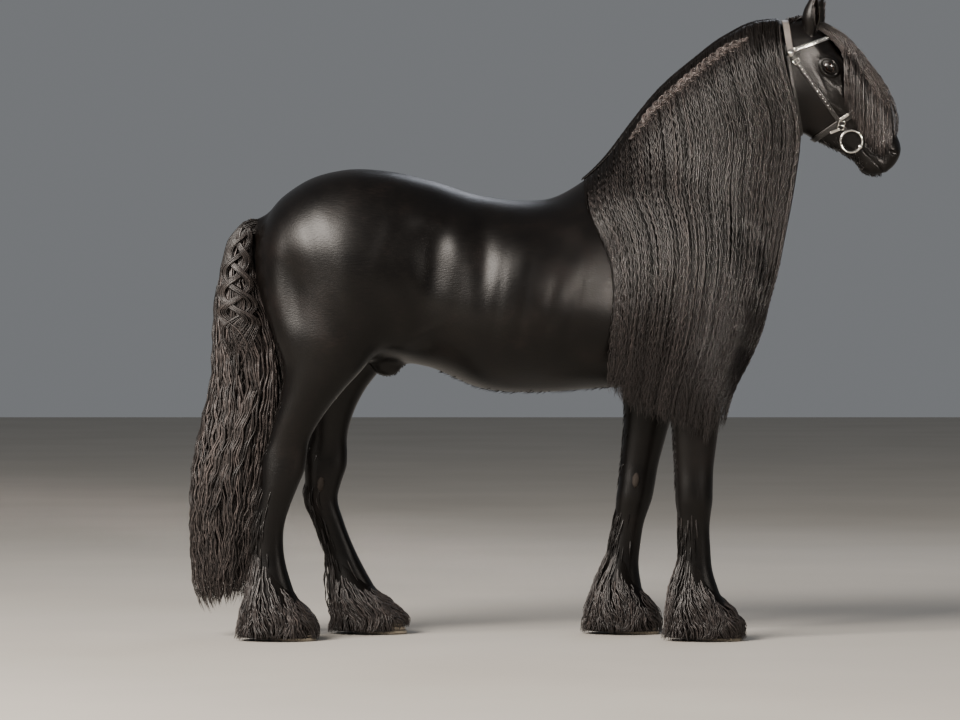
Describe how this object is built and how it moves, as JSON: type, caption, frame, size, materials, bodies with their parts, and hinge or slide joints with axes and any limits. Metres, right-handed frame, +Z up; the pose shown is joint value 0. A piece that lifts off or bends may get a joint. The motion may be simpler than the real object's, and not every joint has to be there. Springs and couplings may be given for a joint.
{
  "type": "friesian horse",
  "caption": "Life-size standing display model of a Friesian stallion with a long wavy mane, full tail and leg feather, wearing a presentation bridle.",
  "frame": {"origin": "the floor under the middle of the whole model: the centre of its box in X and Y, at the hooves' soles", "axes": "+X is the way the horse faces, -Y is its right side, which the picture shows, and +Z is up"},
  "size_m": [2.4942, 0.6561, 2.2598],
  "materials": {
    "coat": "short glossy black fur",
    "hair": "long dark brown-black wavy hair",
    "horn": "dark satin horn",
    "leather": "black polished leather",
    "silver": "polished silver-coloured metal",
    "eye": "wet and glossy, dark brown"
  },
  "bodies": {
    "root": {"torso": "coat", "neck": "hair", "head": "coat", "ear_right": "coat", "ear_left": "coat", "eye_right": "eye", "eye_left": "eye", "tail": "hair", "foreleg_right": "hair", "foreleg_left": "hair", "hindleg_right": "hair", "hindleg_left": "hair", "forearm_right": "coat", "forearm_left": "coat", "gaskin_right": "coat", "gaskin_left": "coat", "hoof_fore_right": "horn", "hoof_fore_left": "horn", "hoof_hind_right": "horn", "hoof_hind_left": "horn", "bridle_headpiece": "leather", "bridle_browband": "leather", "bridle_noseband": "leather", "bridle_cheekpiece_right": "leather", "bridle_cheekpiece_left": "leather", "bridle_bit_right": "silver", "bridle_bit_left": "silver"}
  },
  "joints": []
}
